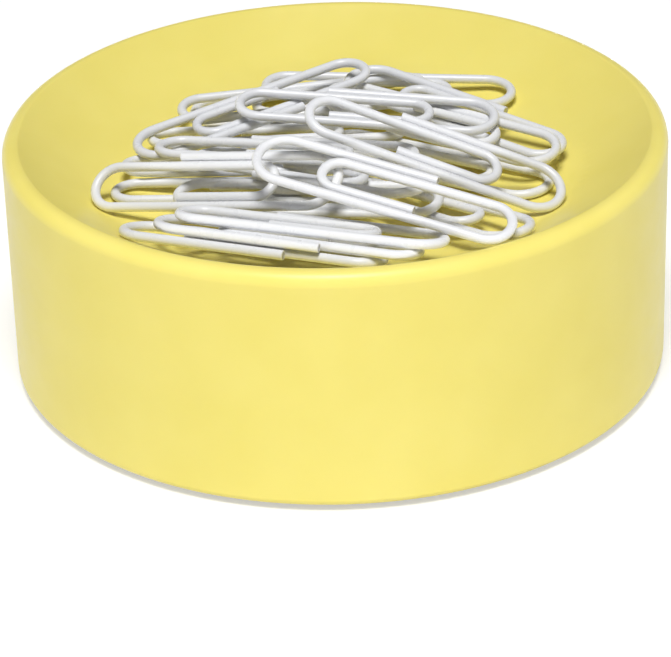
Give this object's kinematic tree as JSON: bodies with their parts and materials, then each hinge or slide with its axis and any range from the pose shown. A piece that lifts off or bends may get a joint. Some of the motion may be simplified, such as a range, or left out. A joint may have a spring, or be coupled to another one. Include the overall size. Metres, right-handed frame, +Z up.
{
  "type": "magnetic paper clip holder",
  "caption": "Round moulded desk holder with a straight wall and a shallow dish; a magnet under the dish floor holds a loose heap of coated wire paper clips that lift off.",
  "frame": {"origin": "middle of the rubber foot's underside, on the surface that the holder stands on", "axes": "+Z up along the holder's axis; the picture looks along +Y, with +X to the right"},
  "size_m": [0.07, 0.07, 0.033],
  "materials": {
    "yellow_plastic": "glossy moulded ABS, pale yellow",
    "cover_plastic": "moulded ABS in the same yellow, left with its mould grain",
    "ferrite": "sintered ferrite, dark grey",
    "plain_steel": "cold rolled sheet",
    "zinc_steel": "bright zinc plating",
    "foot_rubber": "fine-grained non-slip rubber",
    "coated_wire": "white vinyl coat on steel wire, glossy"
  },
  "bodies": {
    "holder": {"dish_shell": "yellow_plastic", "magnet": "ferrite", "backing_plate": "plain_steel", "base_cover": "cover_plastic", "base_screws": "zinc_steel", "rubber_foot": "foot_rubber"},
    "clip_01": {"paper_clip_01": "coated_wire"},
    "clip_02": {"paper_clip_02": "coated_wire"},
    "clip_03": {"paper_clip_03": "coated_wire"},
    "clip_04": {"paper_clip_04": "coated_wire"},
    "clip_05": {"paper_clip_05": "coated_wire"},
    "clip_06": {"paper_clip_06": "coated_wire"},
    "clip_07": {"paper_clip_07": "coated_wire"},
    "clip_08": {"paper_clip_08": "coated_wire"},
    "clip_09": {"paper_clip_09": "coated_wire"},
    "clip_10": {"paper_clip_10": "coated_wire"},
    "clip_11": {"paper_clip_11": "coated_wire"},
    "clip_12": {"paper_clip_12": "coated_wire"},
    "clip_13": {"paper_clip_13": "coated_wire"},
    "clip_14": {"paper_clip_14": "coated_wire"},
    "clip_15": {"paper_clip_15": "coated_wire"},
    "clip_16": {"paper_clip_16": "coated_wire"},
    "clip_17": {"paper_clip_17": "coated_wire"},
    "clip_18": {"paper_clip_18": "coated_wire"},
    "clip_19": {"paper_clip_19": "coated_wire"},
    "clip_20": {"paper_clip_20": "coated_wire"},
    "clip_21": {"paper_clip_21": "coated_wire"}
  },
  "joints": [
    {"name": "clip_01_lift", "type": "slide", "parent": "holder", "child": "clip_01", "axis": [0, 0, 1], "range_m": [0, 0.015]},
    {"name": "clip_02_lift", "type": "slide", "parent": "clip_01", "child": "clip_02", "axis": [0, 0, 1], "range_m": [0, 0.015]},
    {"name": "clip_03_lift", "type": "slide", "parent": "clip_02", "child": "clip_03", "axis": [0, 0, 1], "range_m": [0, 0.015]},
    {"name": "clip_04_lift", "type": "slide", "parent": "clip_03", "child": "clip_04", "axis": [0, 0, 1], "range_m": [0, 0.015]},
    {"name": "clip_05_lift", "type": "slide", "parent": "clip_04", "child": "clip_05", "axis": [0, 0, 1], "range_m": [0, 0.015]},
    {"name": "clip_06_lift", "type": "slide", "parent": "clip_05", "child": "clip_06", "axis": [0, 0, 1], "range_m": [0, 0.015]},
    {"name": "clip_07_lift", "type": "slide", "parent": "clip_06", "child": "clip_07", "axis": [0, 0, 1], "range_m": [0, 0.015]},
    {"name": "clip_08_lift", "type": "slide", "parent": "clip_07", "child": "clip_08", "axis": [0, 0, 1], "range_m": [0, 0.015]},
    {"name": "clip_09_lift", "type": "slide", "parent": "clip_08", "child": "clip_09", "axis": [0, 0, 1], "range_m": [0, 0.015]},
    {"name": "clip_10_lift", "type": "slide", "parent": "clip_09", "child": "clip_10", "axis": [0, 0, 1], "range_m": [0, 0.015]},
    {"name": "clip_11_lift", "type": "slide", "parent": "clip_10", "child": "clip_11", "axis": [0, 0, 1], "range_m": [0, 0.015]},
    {"name": "clip_12_lift", "type": "slide", "parent": "clip_11", "child": "clip_12", "axis": [0, 0, 1], "range_m": [0, 0.015]},
    {"name": "clip_13_lift", "type": "slide", "parent": "clip_12", "child": "clip_13", "axis": [0, 0, 1], "range_m": [0, 0.015]},
    {"name": "clip_14_lift", "type": "slide", "parent": "clip_12", "child": "clip_14", "axis": [0, 0, 1], "range_m": [0, 0.015]},
    {"name": "clip_15_lift", "type": "slide", "parent": "clip_14", "child": "clip_15", "axis": [0, 0, 1], "range_m": [0, 0.015]},
    {"name": "clip_16_lift", "type": "slide", "parent": "clip_15", "child": "clip_16", "axis": [0, 0, 1], "range_m": [0, 0.015]},
    {"name": "clip_17_lift", "type": "slide", "parent": "clip_16", "child": "clip_17", "axis": [0, 0, 1], "range_m": [0, 0.015]},
    {"name": "clip_18_lift", "type": "slide", "parent": "clip_17", "child": "clip_18", "axis": [0, 0, 1], "range_m": [0, 0.015]},
    {"name": "clip_19_lift", "type": "slide", "parent": "clip_17", "child": "clip_19", "axis": [0, 0, 1], "range_m": [0, 0.015]},
    {"name": "clip_20_lift", "type": "slide", "parent": "clip_19", "child": "clip_20", "axis": [0, 0, 1], "range_m": [0, 0.015]},
    {"name": "clip_21_lift", "type": "slide", "parent": "clip_18", "child": "clip_21", "axis": [0, 0, 1], "range_m": [0, 0.015]}
  ]
}
